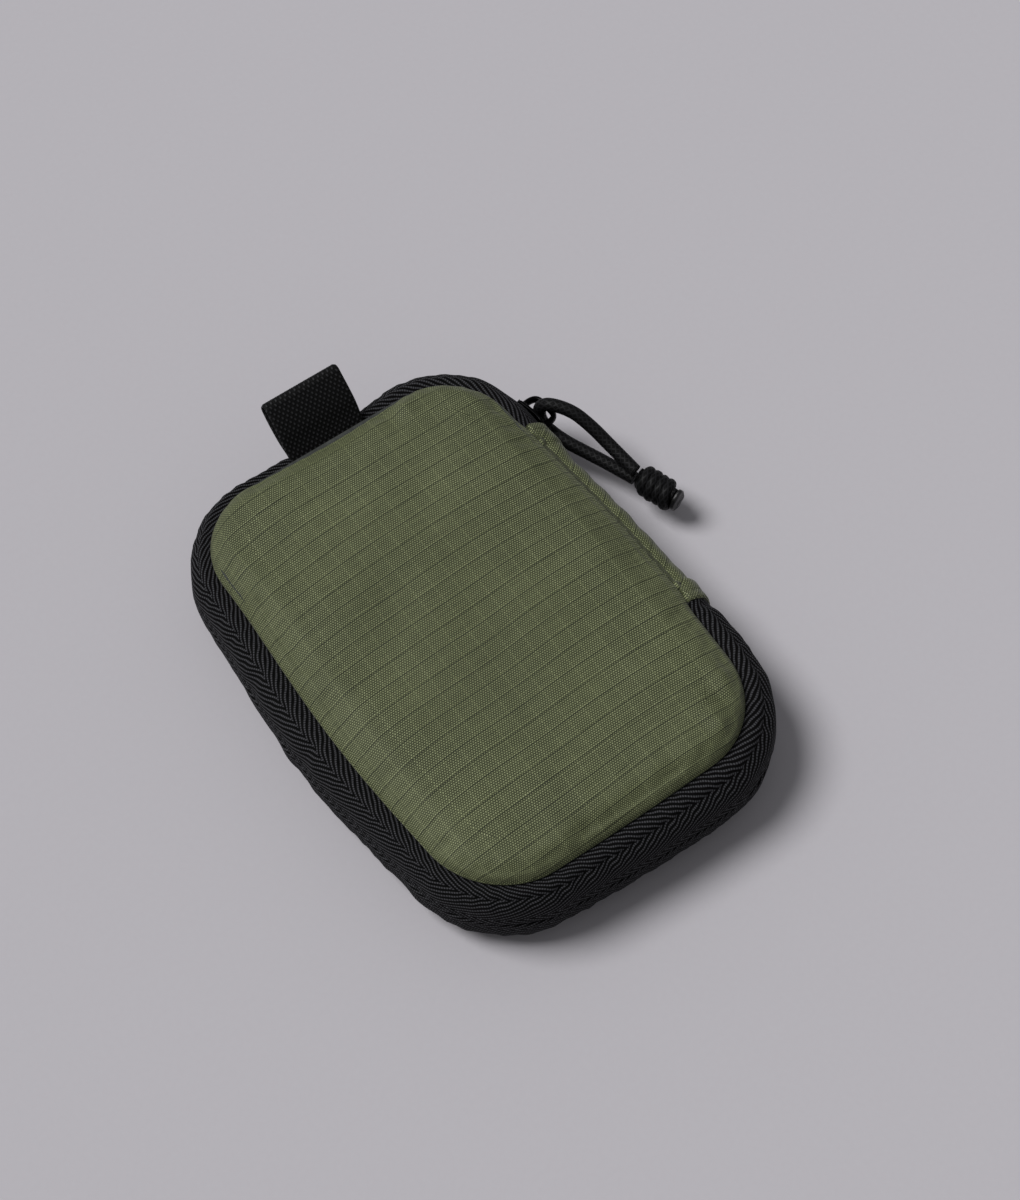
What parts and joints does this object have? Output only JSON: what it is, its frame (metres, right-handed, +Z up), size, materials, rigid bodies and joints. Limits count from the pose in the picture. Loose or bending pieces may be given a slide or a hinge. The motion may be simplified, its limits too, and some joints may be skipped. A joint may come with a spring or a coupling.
{
  "type": "cable organizer pouch",
  "caption": "Zip-around clamshell pouch with padded ripstop panels, herringbone zipper tape wall, fabric spine, webbing loop, knotted cord pull, elastic cable loops and pockets inside.",
  "frame": {"origin": "on the resting face, under the middle of the sewn panel outline", "axes": "+Z up through the closed pouch, +X towards the fabric spine on the long side, +Y towards the end with the webbing loop"},
  "size_m": [0.1348, 0.1633, 0.0388],
  "materials": {
    "ripstop_green": "olive ripstop nylon, fine weave with raised ribs, dull sheen",
    "foam": "closed cell foam",
    "lining": "dark grey plain weave nylon",
    "binding": "black bias binding",
    "zip_tape": "black herringbone zipper tape",
    "zip_coil": "black nylon coil",
    "elastic": "black ribbed elastic",
    "mesh": "black knitted mesh",
    "slider_metal": "black painted die cast zinc",
    "cord": "black braided cord",
    "fused_nylon": "melted cord ends",
    "webbing": "black basket weave webbing"
  },
  "bodies": {
    "base": {"back_panel": "ripstop_green", "back_foam": "foam", "back_lining": "lining", "back_seam_binding": "binding", "zip_tape_lower": "zip_tape", "zip_coil_lower": "zip_coil", "elastic_cable_loops": "elastic", "slip_pocket": "lining", "slip_pocket_hem": "elastic", "spine_panel": "ripstop_green", "spine_cuffs": "ripstop_green", "spine_lining": "lining"},
    "lid": {"front_panel": "ripstop_green", "front_foam": "foam", "front_lining": "lining", "front_seam_binding": "binding", "zip_tape_upper": "zip_tape", "zip_tape_upper_run": "zip_tape", "zip_coil_upper": "zip_coil", "mesh_pocket": "mesh", "mesh_pocket_hem": "elastic"},
    "slider": {"slider_body": "slider_metal", "slider_bail": "slider_metal"},
    "pull": {"pull_cord": "cord", "pull_knot": "cord", "cord_fused_ends": "fused_nylon"},
    "tab": {"webbing_loop": "webbing"}
  },
  "joints": [
    {"name": "lid_hinge", "type": "hinge", "parent": "base", "child": "lid", "pos_m": [0.0595, 0.007, 0.015], "axis": [0, 1, 0], "range_deg": [0, 180], "deforming": ["spine_panel", "spine_cuffs", "spine_lining", "zip_tape_upper_run", "zip_coil_upper"]},
    {"name": "slider_travel", "type": "hinge", "parent": "base", "child": "slider", "pos_m": [0.025, 0.048, 0.015], "axis": [0, 0, 1], "range_deg": [0, 80]},
    {"name": "pull_swing", "type": "hinge", "parent": "slider", "child": "pull", "pos_m": [0.05917, 0.05057, 0.015], "axis": [0, 0, 1], "range_deg": [0, 68]},
    {"name": "loop_flex", "type": "hinge", "parent": "lid", "child": "tab", "pos_m": [0.002, 0.0716, 0.0274], "axis": [1, 0, 0], "range_deg": [-30, 30], "stiffness_Nm_per_rad": 0.004}
  ],
  "couplings": [
    {"joint": "slider_travel", "follows": "lid_hinge", "ratio": 0.4444}
  ]
}
